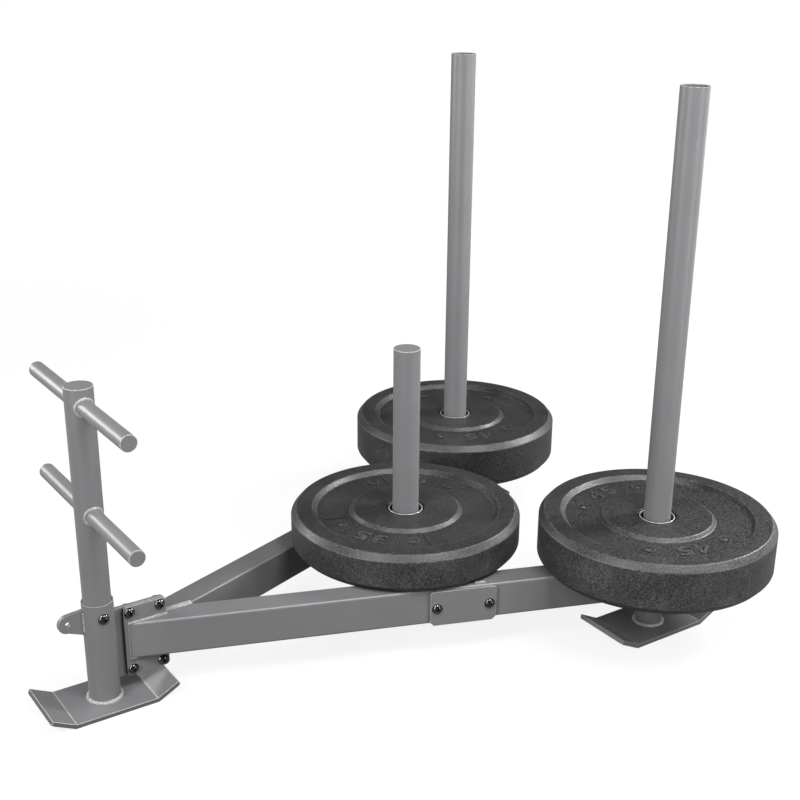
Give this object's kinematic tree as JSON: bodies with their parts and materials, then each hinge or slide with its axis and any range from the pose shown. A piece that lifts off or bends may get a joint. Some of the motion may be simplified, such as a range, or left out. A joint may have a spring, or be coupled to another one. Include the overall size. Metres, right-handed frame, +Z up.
{
  "type": "push sled",
  "caption": "Push sled: V-shaped steel tube frame on bent skis, a push handle with cross grips at the point, and upright posts loaded with rubber weight plates.",
  "frame": {"origin": "on the floor, under the axis of the handle post, at the middle of the front ski", "axes": "+X from the handle post to the two tall posts, +Y to the far side, +Z up"},
  "size_m": [1.3249, 1.095, 1.022],
  "materials": {
    "frame_paint": "satin grey powder coat",
    "black_fasteners": "black, slightly glossy",
    "end_plugs": "matt black",
    "plate_rubber": "dark grey rubber with fine light specks",
    "plate_insert": "turned steel"
  },
  "bodies": {
    "sled": {"front_ski": "frame_paint", "handle_socket": "frame_paint", "tow_tab": "frame_paint", "spine_plate": "frame_paint", "flange_plate": "frame_paint", "far_tip_plate": "frame_paint", "near_rail": "frame_paint", "far_rail": "frame_paint", "apex_welds": "frame_paint", "cross_member": "frame_paint", "near_end_plate": "frame_paint", "far_end_plate": "frame_paint", "near_bracket_plate": "frame_paint", "far_bracket_plate": "frame_paint", "centre_post": "frame_paint", "centre_post_cap": "frame_paint", "near_tall_post": "frame_paint", "far_tall_post": "frame_paint", "near_leg": "frame_paint", "far_leg": "frame_paint", "near_rear_ski": "frame_paint", "far_rear_ski": "frame_paint", "handle_post": "frame_paint", "handle_post_cap": "frame_paint", "upper_grip": "frame_paint", "lower_grip": "frame_paint", "grip_end_discs": "frame_paint", "handle_bolt": "black_fasteners", "handle_nut": "black_fasteners", "flange_bolts": "black_fasteners", "flange_washers": "black_fasteners", "flange_nuts": "black_fasteners", "bracket_bolts": "black_fasteners", "bracket_washers": "black_fasteners", "bracket_nuts": "black_fasteners", "rail_end_plugs": "end_plugs"},
    "near_plate": {"near_plate_rubber": "plate_rubber", "near_plate_insert": "plate_insert"},
    "far_plate": {"far_plate_rubber": "plate_rubber", "far_plate_insert": "plate_insert"},
    "centre_plate": {"centre_plate_rubber": "plate_rubber", "centre_plate_insert": "plate_insert"}
  },
  "joints": [
    {"name": "near_plate_lift", "type": "slide", "parent": "sled", "child": "near_plate", "axis": [0, 0, 1], "range_m": [0, 0.9]},
    {"name": "far_plate_lift", "type": "slide", "parent": "sled", "child": "far_plate", "axis": [0, 0, 1], "range_m": [0, 0.9]},
    {"name": "centre_plate_lift", "type": "slide", "parent": "sled", "child": "centre_plate", "axis": [0, 0, 1], "range_m": [0, 0.415]}
  ]
}
